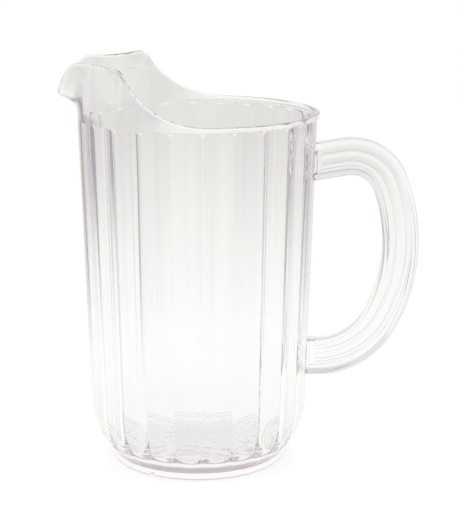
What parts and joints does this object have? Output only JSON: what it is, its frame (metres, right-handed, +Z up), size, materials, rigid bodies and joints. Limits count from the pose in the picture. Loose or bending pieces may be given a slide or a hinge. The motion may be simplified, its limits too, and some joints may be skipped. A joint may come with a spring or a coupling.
{
  "type": "beer pitcher",
  "caption": "Clear plastic pitcher with a fluted tapering body, foot ring, raised pouring spout between two ears and a reeded D handle, for serving drinks.",
  "frame": {"origin": "on the body's axis, in the plane that the foot ring stands on", "axes": "+Z up along the body's axis; +X towards the handle; the spout points to -X; +Y completes the right-handed frame"},
  "size_m": [0.1978, 0.1326, 0.2231],
  "materials": {
    "clear_plastic": "polished clear moulded plastic, colourless",
    "stippled_plastic": "clear moulded plastic with a fine hammered stipple that looks frosted"
  },
  "bodies": {
    "root": {"body_wall": "clear_plastic", "base_shoulder": "clear_plastic", "base_floor": "stippled_plastic", "foot_ring": "clear_plastic", "rim_bead": "clear_plastic", "pouring_spout": "clear_plastic", "upper_handle_arm": "clear_plastic", "upper_handle_bend": "clear_plastic", "handle_grip": "clear_plastic", "lower_handle_bend": "clear_plastic", "lower_handle_arm": "clear_plastic"}
  },
  "joints": []
}
